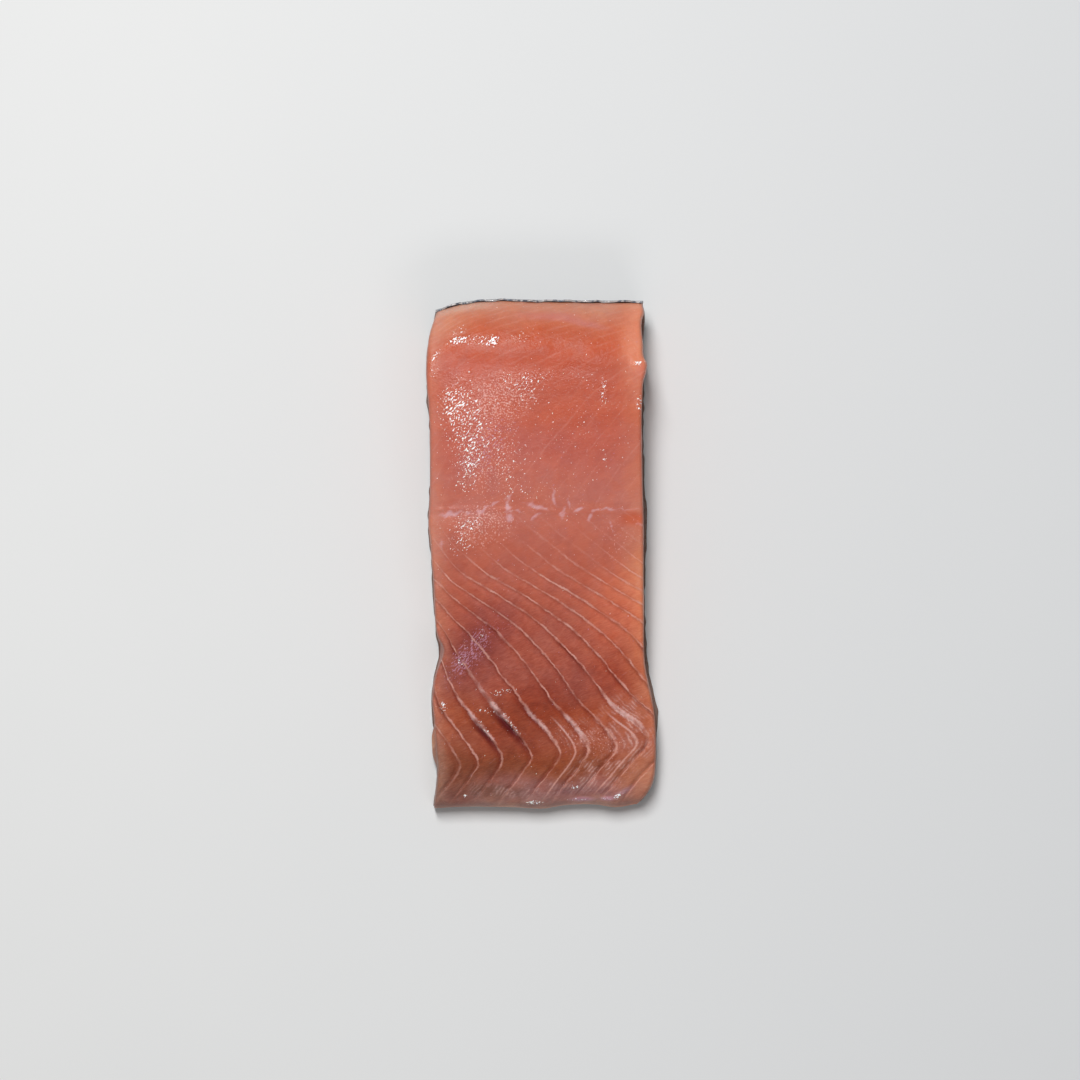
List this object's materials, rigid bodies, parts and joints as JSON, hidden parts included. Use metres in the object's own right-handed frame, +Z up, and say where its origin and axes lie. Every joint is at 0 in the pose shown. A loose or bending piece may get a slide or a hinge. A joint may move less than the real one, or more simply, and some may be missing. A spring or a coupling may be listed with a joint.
{
  "type": "raw salmon fillet portion",
  "caption": "Skin-on raw salmon portion cut crosswise from a side: thick rounded loin end, thin belly end, flaked top and flat skin side.",
  "frame": {"origin": "centre of the bounding box at the flat skin side that it lies on", "axes": "+Z up from the skin to the cut flesh, +Y along the length towards the thick loin end, +X towards the right-hand knife cut"},
  "size_m": [0.0662, 0.145, 0.0278],
  "materials": {
    "flesh": "wet raw salmon flesh with pale seams between its flakes",
    "skin": "wet scaly fish skin, blue-grey at the back and silver towards the belly"
  },
  "bodies": {
    "root": {"flesh": "flesh", "skin": "skin"}
  },
  "joints": []
}
